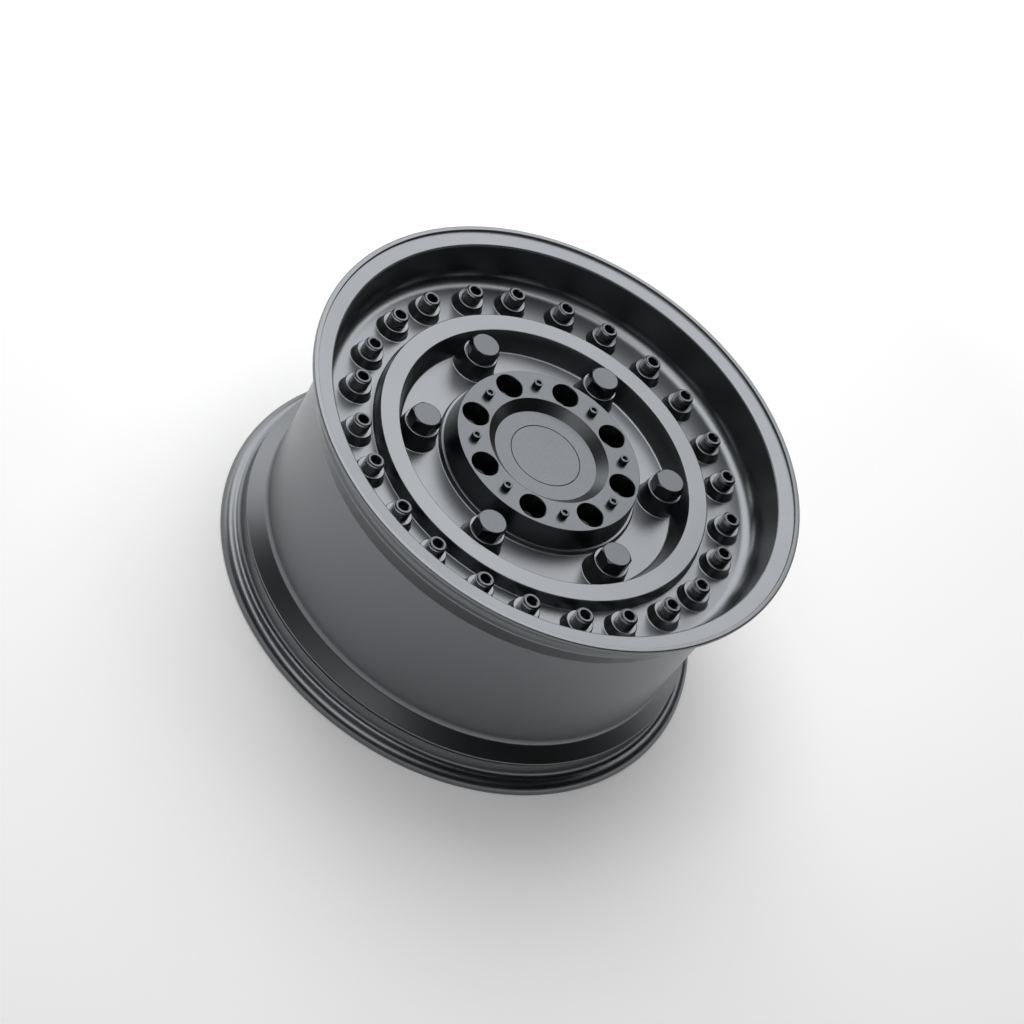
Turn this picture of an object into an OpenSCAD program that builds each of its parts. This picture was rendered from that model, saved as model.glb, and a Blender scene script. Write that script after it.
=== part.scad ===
// One-piece cast alloy road wheel, 20 x 9.5 inch, eight lugs on a 170 mm circle.
// It lies on its inboard flange with its face up. The wheel axis is Z and the
// floor is z = 0. Lug hole 1 lies on +X. Lengths are millimetres.

/* [Rim] */
// Diameter of the tyre bead seats at the flanges
bead_dia = 512.8; // [490:0.2:540]
// Height of the rim flanges above the bead seats
flange_h = 17.3; // [14:0.1:20]
// Distance between the two flange faces that hold the tyre
rim_width = 241.3; // [215:0.1:292]
// Thickness of each flange along the axis
flange_t = 11.35; // [9:0.05:14]
// Wall of the barrel
barrel_wall = 7.2; // [5.5:0.1:10]
// Width of the outboard bead seat, from the flange to the safety hump
front_seat_w = 24.5; // [20:0.5:30]
// Width of the inboard bead seat, from the flange to the safety hump
rear_seat_w = 18.5; // [16:0.5:24]
// Depth of the barrel below the bead seat behind the face
front_drop = 9.4; // [7:0.1:13]
// Depth of the barrel below the bead seat near the inboard ramp
rear_drop = 16.9; // [12:0.1:19]

/* [Lip and dish] */
// Width of the raised outer edge of the lip
lip_edge_w = 5.6; // [3:0.1:9]
// Height of the raised outer edge above the lip band
lip_step = 3.2; // [1.5:0.1:5]
// Radial width of the whole lip, from its outer edge to the dish wall
lip_w = 23.2; // [18:0.1:27]
// Depth of the stud floor below the lip edge
dish_depth = 54.6; // [48:0.1:62]
// Radius between the dish wall and the stud floor
dish_fillet = 16; // [8:0.5:20]
// Thickness of the disc
disc_t = 14; // [11:0.5:20]

/* [Raised ring] */
// Outer diameter of the ring top
ring_dia = 371; // [355:1:382]
// Radial width of the ring top
ring_w = 21.9; // [18:0.1:28]
// Height of the ring above the stud floor
ring_h = 14.8; // [8:0.1:22]
// Depth of the inner floor below the ring top
inner_depth = 24.2; // [18:0.1:30]
// How far the inner wall of the ring leans in towards its foot
ring_lean = 10.5; // [4:0.1:14]

/* [Studs] */
// Diameter of the circle that the studs stand on
stud_circle = 419.4; // [414:0.1:424]
// Number of stud pairs
stud_pairs = 12; // [6:1:12]
// Angle between the two studs either side of a wide gap
stud_gap_deg = 15.96; // [13:0.02:17]
// Diameter of the stud thread
stud_dia = 20; // [16:0.5:22]
// Height of a stud above its pad
stud_stand = 12.6; // [9:0.1:18]
// Key size of the stud socket
stud_key = 10; // [6:0.1:11]
// Diameter of a stud pad at its top
pad_dia = 29.4; // [26:0.1:32]
// Height of a stud pad above the floor
pad_h = 11.5; // [6:0.1:16]

/* [Disc bolts] */
// Diameter of the circle that the hexagon bolts stand on
bolt_circle = 275.6; // [270:0.1:282]
// Number of hexagon bolts
bolt_count = 6; // [3:1:6]
// Size across the flats of the bolt heads
bolt_af = 30; // [24:0.5:33]
// Height of a bolt head, with its washer face
bolt_head_h = 14.3; // [10:0.1:20]
// Thickness of the round washer face under a bolt head
bolt_face_h = 0.8; // [0.4:0.1:4]
// Diameter of that washer face
bolt_face_dia = 29; // [24:0.1:36]
// Diameter of the bolt thread
bolt_dia = 20; // [14:0.5:22]
// Diameter of a bolt boss at its top
boss_dia = 39; // [35:0.1:42]
// Height of a bolt boss above the inner floor
boss_h = 20.5; // [10:0.1:22]

/* [Hub] */
// Diameter of the lug circle
lug_circle = 170; // [166:0.1:174]
// Number of lug holes
lug_count = 8; // [5:1:8]
// Diameter of a lug hole where the wheel stud passes
lug_hole = 16; // [14:0.1:17.5]
// Diameter of the socket clearance above a lug seat
lug_well = 27.4; // [25:0.1:28.5]
// Included angle of the conical lug seat
lug_seat_deg = 60; // [50:1:90]
// Height of the lug seat above the mounting face
lug_seat_h = 20; // [14:0.5:30]
// Diameter of the centre bore
bore_dia = 125.1; // [118:0.1:128]
// Distance of the mounting face inboard of the rim centre line
offset_in = 18; // [0:0.5:30]
// Diameter of the mounting face
face_dia = 214; // [206:1:216]
// Diameter of the land that the hub cap stands on
land_dia = 220.4; // [216:0.1:226]
// Height of that land above the inner floor
land_h = 5.5; // [2:0.1:9]

/* [Hub cap] */
// Diameter of the cap top
cap_dia = 206.6; // [202:0.1:210]
// Height of the cap above its land
cap_h = 25.5; // [20:0.1:32]
// Draft of the cap wall, measured at its foot
cap_draft = 4.2; // [1:0.1:5]
// Diameter of the lug openings in the cap
cap_hole = 29.5; // [28.6:0.1:31]
// Diameter of the recess at the cap top
recess_dia = 134.4; // [131:0.1:137]
// Diameter of the flat in the recess
recess_flat = 114.7; // [106:0.1:116]
// Depth of the recess
recess_depth = 9.7; // [6:0.1:12]
// Diameter of the centre badge
badge_dia = 77.4; // [60:0.1:90]
// Thickness of the centre badge
badge_t = 2; // [1.2:0.1:2.6]
// Wall of the cap
cap_wall = 3.5; // [2.5:0.1:4]
// Diameter of the cap screws' thread
screw_dia = 6; // [4:0.5:8]
// Diameter of a cap screw's head
screw_head = 10; // [8:0.1:12]
// Height of a cap screw's head above the cap
screw_head_h = 6; // [3:0.1:8]

/* [Valve] */
// Diameter of the valve hole
valve_dia = 11.3; // [8:0.1:12]
// Angle of the valve hole round the wheel
valve_at = 330; // [0:30:330]
// Wall left under the valve's seat
valve_wall = 4.8; // [3.5:0.1:5.5]

/* [Hidden] */
STUDS = 2 * stud_pairs;
function two(n) = n < 10 ? str("0", n) : str(n);

// Finishes, as colours
GREY = "#6f7276";
DARK = "#2b2c2e";

// Fineness of large rounds, bores and small rounds
fine = 128;
bore_fn = 96;
small_fn = 48;

// Radial clearances
thread_fit = 0.1;
screw_fit = 0.25;
spigot_fit = 0.25;
badge_fit = 0.35;

// Spigot of the hub cap, the step of the counterbore that takes it and the room under it
spigot_h = 5;
spigot_step = 2.5;
spigot_room = 1;

// Room for the wall of a socket round a bolt head
socket_wall = 2;

// Edges and fillets of the casting
edge = 1.5;
fine_edge = 0.6;
boss_edge = 1;
foot = 3;
corner = 2.5;
back_fillet = 14;
hub_fillet = 6;

// Drafts, measured across a wall's height
wall_draft = 1.8;
dish_draft = 3;
pad_draft = 2;
boss_draft = 3.2;
hub_draft = 3;

// Walls of the casting
rib = 5;
core_wall = 8;
valve_land = 7;
hole_web = 5;
overlap = 1;

// Heights of the main planes
overall_w = rim_width + 2 * flange_t;
face_z = overall_w / 2 - offset_in;
floor_z = overall_w - dish_depth;
ring_z = floor_z + ring_h;
inner_z = ring_z - inner_depth;
land_z = inner_z + land_h;
cap_z = land_z + cap_h;
pad_z = floor_z + pad_h;
boss_z = inner_z + boss_h;
band_z = overall_w - lip_step;
lug_seat_z = face_z + lug_seat_h;
bore_top_z = land_z - spigot_h - spigot_room;
outer_back_z = floor_z - disc_t;
inner_back_z = inner_z - disc_t;
core_z = ring_z - disc_t;

// Radii of the face and the hub
seat_r = bead_dia / 2;
flange_r = seat_r + flange_h;
edge_r = flange_r - lip_edge_w;
wall_top_r = flange_r - lip_w;
wall_low_r = wall_top_r - dish_draft;
ring_r = ring_dia / 2;
ring_in_r = ring_r - ring_w;
ring_foot_r = ring_in_r - ring_lean;
bore_r = bore_dia / 2;
spigot_bore_r = bore_r + spigot_step;
face_r = face_dia / 2;
land_r = land_dia / 2;
cap_r = cap_dia / 2;

// Rim contour: flanges, bead seats, safety humps and ramps
tip_r = 1.8;
curl_r = flange_t - tip_r;
heel_r = 6.5;
seat_fall = 1.3;
hump_r = 2.7;
hump_sink = 1;
hump_w = 5;
groove = 1.6;
front_ramp_w = 23.4;
rear_ramp_w = 19.5;
hump_foot_r = seat_r - seat_fall;
front_face_z = overall_w - flange_t;
front_hump_z = front_face_z - front_seat_w;
rear_hump_z = flange_t + rear_seat_w;
front_drop_z = front_hump_z - front_ramp_w;
rear_drop_z = rear_hump_z + hump_w + rear_ramp_w;
front_drop_r = seat_r - front_drop;
rear_drop_r = seat_r - rear_drop;
flange_back_w = 9;
hump_deg = 40;
front_hump_mid = front_hump_z + hump_r / 2;
ramp_top_r = hump_foot_r - hump_sink + hump_r * cos(hump_deg);
ramp_top_z = front_hump_mid - hump_r * sin(hump_deg);

// Angles of the pieces round the axis
function stud_angle(i) =
    360 / stud_pairs * floor(i / 2) + (i % 2 == 0 ? -1 : 1) * stud_gap_deg / 2;
function bolt_angle(i) = 30 + 360 / bolt_count * i;
function lug_angle(i) = 360 / lug_count * i;
function screw_angle(i) = lug_angle(i) + 180 / lug_count;

// Where the corners of each bolt head came to rest when it was tightened
bolt_turn = [21, 22, 3, 55, 2, 13];

// Tapped holes, and the threads in them
tip_gap = 2;
stud_hole = pad_h + disc_t - hole_web;
stud_root = stud_hole - tip_gap;
bolt_hole = boss_h + disc_t - hole_web;
bolt_root = bolt_hole - tip_gap;
screw_hole = 14;
screw_root = screw_hole - tip_gap;

// Points along an arc about (x, y) from angle a to angle b
function arc(x, y, r, a, b, n = 6) =
    [for (k = [0:n]) let (t = a + (b - a) * k / n) [x + r * cos(t), y + r * sin(t)]];

// Stands its children on a circle round the axis
module round_at(circle_dia, angle)
    rotate([0, 0, angle]) translate([circle_dia / 2, 0, 0]) children();

// Back of the casting: hub wall, disc, channel behind the ring, barrel inside
function back_points() = concat(
    [[bore_r, face_z], [face_r, face_z], [face_r + hub_draft, inner_back_z - hub_fillet]],
    arc(face_r + hub_draft + hub_fillet, inner_back_z - hub_fillet, hub_fillet, 180, 90, 4),
    [[ring_foot_r + core_wall, inner_back_z], [ring_in_r + core_wall, core_z]],
    [[ring_r - core_wall, core_z], [ring_r - core_wall + wall_draft, outer_back_z]],
    arc(front_drop_r - barrel_wall - back_fillet, outer_back_z - back_fillet, back_fillet, 90, 0, 5),
    [[rear_drop_r - barrel_wall, rear_drop_z]],
    [[hump_foot_r - barrel_wall, rear_hump_z + hump_w], [hump_foot_r - barrel_wall, flange_t]],
    [[flange_r - flange_back_w, foot], [flange_r - flange_back_w + tip_r, 0]]);

// Tyre side of the rim, from the inboard flange to the lip
function tyre_points() = concat(
    arc(flange_r - tip_r, tip_r, tip_r, 270, 360, 4),
    arc(flange_r - curl_r, flange_t - curl_r, curl_r, 4, 90, 8),
    arc(seat_r + heel_r, flange_t + heel_r, heel_r, 270, 180, 6),
    [[hump_foot_r, rear_hump_z - groove], [hump_foot_r - groove, rear_hump_z - groove]],
    [[hump_foot_r - groove, rear_hump_z]],
    arc(hump_foot_r - hump_sink, rear_hump_z + hump_w / 2, hump_r, -hump_deg, hump_deg, 4),
    [[rear_drop_r, rear_drop_z], [front_drop_r, front_drop_z]],
    arc(hump_foot_r - hump_sink, front_hump_mid, hump_r, -hump_deg, hump_deg, 4),
    [[hump_foot_r, front_hump_z + hump_w]],
    arc(seat_r + heel_r, front_face_z - heel_r, heel_r, 180, 90, 6),
    arc(flange_r - curl_r, front_face_z + curl_r, curl_r, 270, 356, 8));

// Face of the casting: lip, dish, raised ring, inner floor and cap land
function face_points() = concat(
    arc(flange_r - tip_r, overall_w - tip_r, tip_r, 0, 90, 4),
    arc(edge_r + fine_edge, overall_w - fine_edge, fine_edge, 90, 180, 2),
    [[edge_r - fine_edge / 2, band_z]],
    arc(wall_top_r + corner, band_z - edge - corner, corner, 90, 176, 5),
    arc(wall_low_r - dish_fillet, floor_z + dish_fillet, dish_fillet, 2, -90, 10),
    arc(ring_r + wall_draft + edge, floor_z + edge, edge, 270, 186, 3),
    arc(ring_r - edge, ring_z - edge, edge, 7, 90, 4),
    arc(ring_in_r + edge, ring_z - edge, edge, 90, 156, 4),
    arc(ring_foot_r - fine_edge, inner_z + foot, foot, -24, -90, 4),
    arc(land_r + edge + fine_edge, inner_z + edge, edge, 270, 188, 3),
    arc(land_r - fine_edge, land_z - fine_edge, fine_edge, 8, 90, 2),
    [[spigot_bore_r, land_z], [spigot_bore_r, bore_top_z], [bore_r, bore_top_z]]);

// A boss with a draft, a rounded top edge and a small fillet at its foot
module boss(dia, draft, z0, z1)
    rotate_extrude($fn = 72)
        polygon(concat(
            [[0, z0 - hole_web], [dia / 2 + draft + edge, z0 - hole_web]],
            arc(dia / 2 + draft + edge, z0 + edge, edge, 270, 190, 3),
            arc(dia / 2 - boss_edge, z1 - boss_edge, boss_edge, 10, 90, 3),
            [[0, z1]]));

// Blind hole down from a face
module tapped(top_z, depth, dia)
    translate([0, 0, top_z - depth])
        cylinder(h = depth + overlap, d = dia + 2 * thread_fit, $fn = small_fn);

// Room above a boss or pad for the socket that turns its bolt or stud
module socket_room(foot_z, height, dia)
    translate([0, 0, foot_z])
        cylinder(h = height + overlap, d = dia, $fn = bore_fn);

// Lug hole: a well for the socket with a broken edge, a conical seat, the hole for the stud
module lug_bore() {
    drop = (lug_well - lug_hole) / 2 / tan(lug_seat_deg / 2);
    cone_z = lug_seat_z - drop;
    translate([0, 0, lug_seat_z])
        cylinder(h = land_z - lug_seat_z + overlap, d = lug_well, $fn = bore_fn);
    translate([0, 0, land_z - boss_edge])
        cylinder(h = 2 * boss_edge, d1 = lug_well, d2 = lug_well + 4 * boss_edge, $fn = bore_fn);
    translate([0, 0, cone_z])
        cylinder(h = drop, d1 = lug_hole, d2 = lug_well, $fn = bore_fn);
    translate([0, 0, face_z - overlap])
        cylinder(h = cone_z - face_z + 2 * overlap, d = lug_hole, $fn = bore_fn);
}

// Lightening pocket between two lug holes, open to the back
module hub_pocket() {
    between = lug_circle * sin(180 / lug_count) - lug_well - 3 * rib;
    width = min(between, face_r - bore_r - 3 * rib);
    near_r = bore_r + rib + width / 2;
    far_r = face_r - rib - width / 2;
    reach = land_z - screw_hole - 2 * rib - face_z + overlap;
    translate([0, 0, face_z - overlap]) {
        translate([near_r, 0, 0]) cylinder(h = reach, d = width, $fn = small_fn);
        translate([far_r, 0, 0]) cylinder(h = reach, d = width, $fn = small_fn);
        translate([near_r, -width / 2, 0]) cube([far_r - near_r, width, reach]);
    }
}

// Valve hole through the outboard ramp, with a flat seat on the dish side
module valve_bore() {
    lean = atan2(ramp_top_r - front_drop_r, ramp_top_z - front_drop_z);
    rim_r = (front_drop_r + ramp_top_r) / 2;
    rim_z = (front_drop_z + ramp_top_z) / 2;
    reach = 12;
    rotate([0, 0, valve_at]) translate([rim_r, 0, rim_z]) rotate([0, 270 + lean, 0]) {
        translate([0, 0, -reach]) cylinder(h = 3 * reach, d = valve_dia, $fn = bore_fn);
        translate([0, 0, valve_wall]) cylinder(h = reach, d = valve_dia + valve_land, $fn = bore_fn);
    }
}

module wheel_casting() {
    head_dia = max(bolt_face_dia, bolt_af / cos(30));
    color(GREY) difference() {
        union() {
            rotate_extrude($fn = fine)
                polygon(concat(back_points(), tyre_points(), face_points()));
            for (i = [0:STUDS - 1])
                round_at(stud_circle, stud_angle(i)) boss(pad_dia, pad_draft, floor_z, pad_z);
            for (i = [0:bolt_count - 1])
                round_at(bolt_circle, bolt_angle(i)) boss(boss_dia, boss_draft, inner_z, boss_z);
        }
        for (i = [0:lug_count - 1]) {
            round_at(lug_circle, lug_angle(i)) lug_bore();
            rotate([0, 0, screw_angle(i)]) hub_pocket();
            round_at(lug_circle, screw_angle(i)) tapped(land_z, screw_hole, screw_dia);
        }
        for (i = [0:STUDS - 1])
            round_at(stud_circle, stud_angle(i)) {
                tapped(pad_z, stud_hole, stud_dia);
                socket_room(pad_z, stud_stand, max(pad_dia, stud_dia + 2 * socket_wall));
            }
        for (i = [0:bolt_count - 1])
            round_at(bolt_circle, bolt_angle(i)) {
                tapped(boss_z, bolt_hole, bolt_dia);
                socket_room(boss_z, bolt_head_h, head_dia + 2 * socket_wall);
            }
        valve_bore();
    }
}

// Drum of the hub cap before its holes: a dished roof, a skirt and a spigot
module cap_shell() {
    roof_z = cap_z - cap_wall;
    cup_z = cap_z - recess_depth - badge_t - cap_wall;
    spigot_r = spigot_bore_r - spigot_fit;
    flare = 6;
    difference() {
        rotate_extrude($fn = fine) polygon(concat(
            [[0, cup_z], [spigot_r - cap_wall - edge, cup_z], [spigot_r - cap_wall, land_z - spigot_h]],
            [[spigot_r, land_z - spigot_h], [spigot_r, land_z], [cap_r + cap_draft, land_z]],
            arc(cap_r - boss_edge, cap_z - boss_edge, boss_edge, 9, 90, 3),
            [[recess_dia / 2, cap_z], [recess_flat / 2, cap_z - recess_depth]],
            [[0, cap_z - recess_depth]]));
        rotate_extrude($fn = fine) polygon([
            [spigot_r + cap_wall, land_z - overlap],
            [cap_r + cap_draft - cap_wall, land_z - overlap],
            [cap_r - cap_wall, roof_z], [recess_dia / 2 + cap_wall, roof_z],
            [spigot_r + cap_wall, roof_z - flare]]);
    }
}

// Hub cap: sleeves under the drum's roof carry the lug openings and the screws
module hub_cap() {
    sleeve_h = cap_h - edge;
    color(GREY) difference() {
        union() {
            cap_shell();
            for (i = [0:lug_count - 1]) {
                round_at(lug_circle, lug_angle(i)) translate([0, 0, land_z])
                    cylinder(h = sleeve_h, d = cap_hole + 2 * cap_wall - 1, $fn = bore_fn);
                round_at(lug_circle, screw_angle(i)) translate([0, 0, land_z])
                    cylinder(h = sleeve_h, d = screw_head + cap_wall, $fn = small_fn);
            }
        }
        for (i = [0:lug_count - 1]) {
            round_at(lug_circle, lug_angle(i)) translate([0, 0, land_z - overlap])
                cylinder(h = cap_h + 2 * overlap, d = cap_hole, $fn = bore_fn);
            round_at(lug_circle, screw_angle(i)) translate([0, 0, land_z - overlap])
                cylinder(h = cap_h + 2 * overlap, d = screw_dia + 2 * screw_fit, $fn = small_fn);
        }
        translate([0, 0, cap_z - recess_depth - badge_t])
            cylinder(h = badge_t + overlap, d = badge_dia + 2 * badge_fit, $fn = fine);
    }
}

// Plain centre badge, let in flush with the cap
module cap_badge() {
    top = cap_z - recess_depth;
    bevel = 0.3;
    color(GREY) rotate_extrude($fn = fine) polygon([
        [0, top - badge_t], [badge_dia / 2, top - badge_t], [badge_dia / 2, top - bevel],
        [badge_dia / 2 - bevel, top], [0, top]]);
}

// Hexagon bolt with a round washer face and a chamfered head
module disc_bolt(i) {
    chamfer_h = 3.9;
    corner_r = bolt_af / 2 / cos(30);
    hex_h = bolt_head_h - bolt_face_h;
    color(DARK) round_at(bolt_circle, bolt_angle(i)) {
        translate([0, 0, boss_z + bolt_face_h]) intersection() {
            rotate([0, 0, bolt_turn[i % 6] - bolt_angle(i)])
                cylinder(h = hex_h, r = corner_r, $fn = 6);
            rotate_extrude($fn = bore_fn) polygon([
                [0, 0], [corner_r + edge, 0], [corner_r + edge, hex_h - chamfer_h],
                [bolt_af / 2 - fine_edge, hex_h], [0, hex_h]]);
        }
        translate([0, 0, boss_z])
            cylinder(h = bolt_face_h, d = bolt_face_dia, $fn = bore_fn);
        translate([0, 0, boss_z - bolt_root])
            cylinder(h = bolt_root, d = bolt_dia, $fn = small_fn);
    }
}

// Socket-head screw that holds the cap down
module cap_screw(i) {
    top = cap_z + screw_head_h;
    key = screw_head * 0.5;
    key_depth = screw_head_h * 0.4;
    bevel = 0.5;
    color(DARK) round_at(lug_circle, screw_angle(i)) difference() {
        rotate_extrude($fn = small_fn) polygon([
            [0, land_z - screw_root], [screw_dia / 2, land_z - screw_root],
            [screw_dia / 2, cap_z], [screw_head / 2, cap_z], [screw_head / 2, top - bevel],
            [screw_head / 2 - bevel, top], [0, top]]);
        translate([0, 0, top - key_depth])
            cylinder(h = key_depth + overlap, d = key / cos(30), $fn = 6);
    }
}

// Threaded stud with a chamfered end and a countersunk hexagon socket
module rim_stud(i) {
    top = pad_z + stud_stand;
    thread_r = stud_dia / 2;
    bevel = 1.4;
    mouth_r = stud_key * 0.62;
    sink = 1.6;
    color(DARK) round_at(stud_circle, stud_angle(i)) difference() {
        rotate_extrude($fn = 64) polygon([
            [0, pad_z - stud_root], [thread_r, pad_z - stud_root],
            [thread_r, top - bevel], [thread_r - bevel, top], [0, top]]);
        translate([0, 0, top - stud_key])
            cylinder(h = stud_key + overlap, d = stud_key / cos(30), $fn = 6);
        translate([0, 0, top - sink])
            cylinder(h = 2 * sink, r1 = mouth_r - sink, r2 = mouth_r + sink, $fn = 64);
    }
}

wheel_casting();
hub_cap();
cap_badge();
for (i = [1:bolt_count])
    disc_bolt(i - 1);
for (i = [1:lug_count])
    cap_screw(i - 1);
for (i = [1:STUDS])
    rim_stud(i - 1);
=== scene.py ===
"""Cast alloy truck wheel, lying face up on its inboard flange.

The rim, the disc, the hub cap and all the fasteners are modelled here in full detail
and take the places of the plain construction solids.
"""
import math

import bpy
from mathutils import Matrix, Vector


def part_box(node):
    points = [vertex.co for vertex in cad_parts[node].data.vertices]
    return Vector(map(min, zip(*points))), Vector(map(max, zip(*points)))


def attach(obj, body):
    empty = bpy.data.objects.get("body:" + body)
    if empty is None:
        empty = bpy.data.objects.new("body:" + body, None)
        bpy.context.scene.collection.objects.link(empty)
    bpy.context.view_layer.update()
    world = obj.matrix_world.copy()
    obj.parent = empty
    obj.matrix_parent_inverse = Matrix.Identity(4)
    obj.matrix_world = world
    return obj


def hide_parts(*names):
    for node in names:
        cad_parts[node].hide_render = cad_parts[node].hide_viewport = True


bl_info = {
    "name": "Alloy Wheel Builder",
    "version": (1, 0, 0),
    "blender": (4, 5, 0),
    "location": "3D View > Sidebar > Wheel",
    "description": "Models a cast alloy truck wheel with its cap, bolts, screws and studs",
    "category": "Add Mesh",
}

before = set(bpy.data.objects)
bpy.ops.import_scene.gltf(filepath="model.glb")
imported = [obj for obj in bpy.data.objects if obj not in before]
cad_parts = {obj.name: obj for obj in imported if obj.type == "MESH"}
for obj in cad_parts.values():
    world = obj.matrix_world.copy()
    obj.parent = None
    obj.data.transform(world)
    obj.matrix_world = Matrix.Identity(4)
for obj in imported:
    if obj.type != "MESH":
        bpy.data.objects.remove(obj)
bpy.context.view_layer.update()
MM = 0.001
BODY = "root"
STUD_NODES = sorted(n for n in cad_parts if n.startswith("rim_stud_"))
BOLT_NODES = sorted(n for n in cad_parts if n.startswith("disc_bolt_"))
SCREW_NODES = sorted(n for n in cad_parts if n.startswith("cap_screw_"))


def reach(node):
    """Lowest and highest corner of a node, in millimetres."""
    low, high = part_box(node)
    return low / MM, high / MM


CAST_HIGH = reach("wheel_casting")[1]
CAP_LOW, CAP_HIGH = reach("hub_cap")
BADGE_LOW, BADGE_HIGH = reach("cap_badge")
BOLT_LOW, BOLT_HIGH = reach(BOLT_NODES[0])
SCREW_LOW, SCREW_HIGH = reach(SCREW_NODES[0])
STUD_LOW, STUD_HIGH = reach(STUD_NODES[0])


def linear(hex_colour):
    """Turns an sRGB hex value into linear RGBA."""
    channels = [int(hex_colour[i:i + 2], 16) / 255 for i in (1, 3, 5)]
    return [c / 12.92 if c <= 0.04045 else ((c + 0.055) / 1.055) ** 2.4 for c in channels] + [1.0]


def size(name, millimetres, about):
    """A length that a user may change."""
    return bpy.props.FloatProperty(
        name=name, description=about, default=millimetres * MM, min=0.0, precision=5, unit="LENGTH")


def shade(name, hex_colour, about):
    """A colour that a user may change."""
    return bpy.props.FloatVectorProperty(
        name=name, description=about, default=linear(hex_colour),
        size=4, min=0.0, max=1.0, subtype="COLOR")


def turn(name, degrees, about):
    """An angle that a user may change."""
    return bpy.props.FloatProperty(
        name=name, description=about, default=math.radians(degrees), subtype="ANGLE")


class Millimetres:
    """Reads the lengths of a property group in millimetres."""

    def __init__(self, group):
        self.group = group

    def __getattr__(self, key):
        return getattr(self.group, key) / MM


class RimSizes(bpy.types.PropertyGroup):
    """Sizes of the casting."""

    overall: size("Overall width", CAST_HIGH.z, "Height from the floor to the lip's edge")
    flange_r: size("Flange radius", CAST_HIGH.y, "Outer radius of both rim flanges")
    flange_t: size("Flange thickness", 11.35, "Thickness of a flange along the axis")
    flange_h: size("Flange height", 17.3, "Height of a flange above its bead seat")
    front_seat: size("Outboard seat", 24.5, "Width of the outboard bead seat")
    rear_seat: size("Inboard seat", 18.5, "Width of the inboard bead seat")
    front_drop: size("Outboard drop", 9.4, "Depth of the barrel below the seat behind the face")
    rear_drop: size("Inboard drop", 16.9, "Depth of the barrel below the seat near the back")
    front_ramp: size("Outboard ramp", 23.4, "Width of the ramp behind the outboard seat")
    rear_ramp: size("Inboard ramp", 19.5, "Width of the ramp beside the inboard seat")
    wall: size("Barrel wall", 7.2, "Wall of the barrel")
    edge_w: size("Lip edge width", 5.6, "Width of the raised outer edge of the lip")
    step: size("Lip step", 3.2, "Height of the raised edge above the lip band")
    lip_w: size("Lip width", 23.2, "Radial width of the whole lip")
    dish: size("Dish depth", 54.6, "Depth of the stud floor below the lip's edge")
    dish_fillet: size("Dish fillet", 16.0, "Radius between the dish wall and the stud floor")
    disc_t: size("Disc thickness", 14.0, "Thickness of the disc")
    ring_r: size("Ring radius", 185.5, "Outer radius of the raised ring's top")
    ring_w: size("Ring width", 21.9, "Radial width of the raised ring's top")
    ring_h: size("Ring height", 14.8, "Height of the ring above the stud floor")
    ring_lean: size("Ring lean", 10.5, "How far the ring's inner wall leans in")
    inner: size("Inner depth", 24.2, "Depth of the inner floor below the ring top")
    land_r: size("Land radius", 110.2, "Radius of the land under the cap")
    land_h: size("Land height", 5.5, "Height of that land above the inner floor")
    bore_r: size("Bore radius", 62.55, "Radius of the centre bore")
    spigot_r: size("Counterbore radius", 65.05, "Radius of the counterbore that takes the cap's spigot")
    spigot_h: size("Counterbore depth", 6.0, "Depth of that counterbore below the land")
    face_r: size("Mounting face radius", 107.0, "Radius of the mounting face")
    face_z: size("Mounting face height", 114.0, "Height of the mounting face above the floor")
    pad_r: size("Pad radius", 14.7, "Radius of a stud pad's top")
    pad_h: size("Pad height", 11.5, "Height of a stud pad above the stud floor")
    boss_r: size("Boss radius", 19.5, "Radius of a bolt boss's top")
    boss_h: size("Boss height", 20.5, "Height of a bolt boss above the inner floor")
    lug_r: size("Lug circle radius", 85.0, "Radius of the circle of lug holes")
    lug_hole: size("Lug hole radius", 8.0, "Radius of a lug hole at the mounting face")
    lug_well: size("Lug well radius", 13.7, "Radius of the socket clearance above a lug seat")
    lug_seat: size("Lug seat height", 20.0, "Height of a lug seat above the mounting face")
    valve_r: size("Valve hole radius", 5.65, "Radius of the valve hole")


class CapSizes(bpy.types.PropertyGroup):
    """Sizes of the hub cap and its badge."""

    top_r: size("Cap radius", 103.3, "Radius of the cap's flat top")
    wall: size("Cap wall", 3.5, "Wall of the cap")
    hole_r: size("Lug opening", 14.75, "Radius of a lug opening")
    recess_r: size("Recess radius", 67.2, "Radius of the recess at the cap's top")
    flat_r: size("Recess flat", 57.35, "Radius of the flat in the recess")
    recess: size("Recess depth", 9.7, "Depth of the recess")
    land_z: size("Land height", 205.5, "Height of the land that the cap stands on")
    spigot_r: size("Spigot radius", 64.8, "Radius of the spigot that centres the cap")


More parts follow.
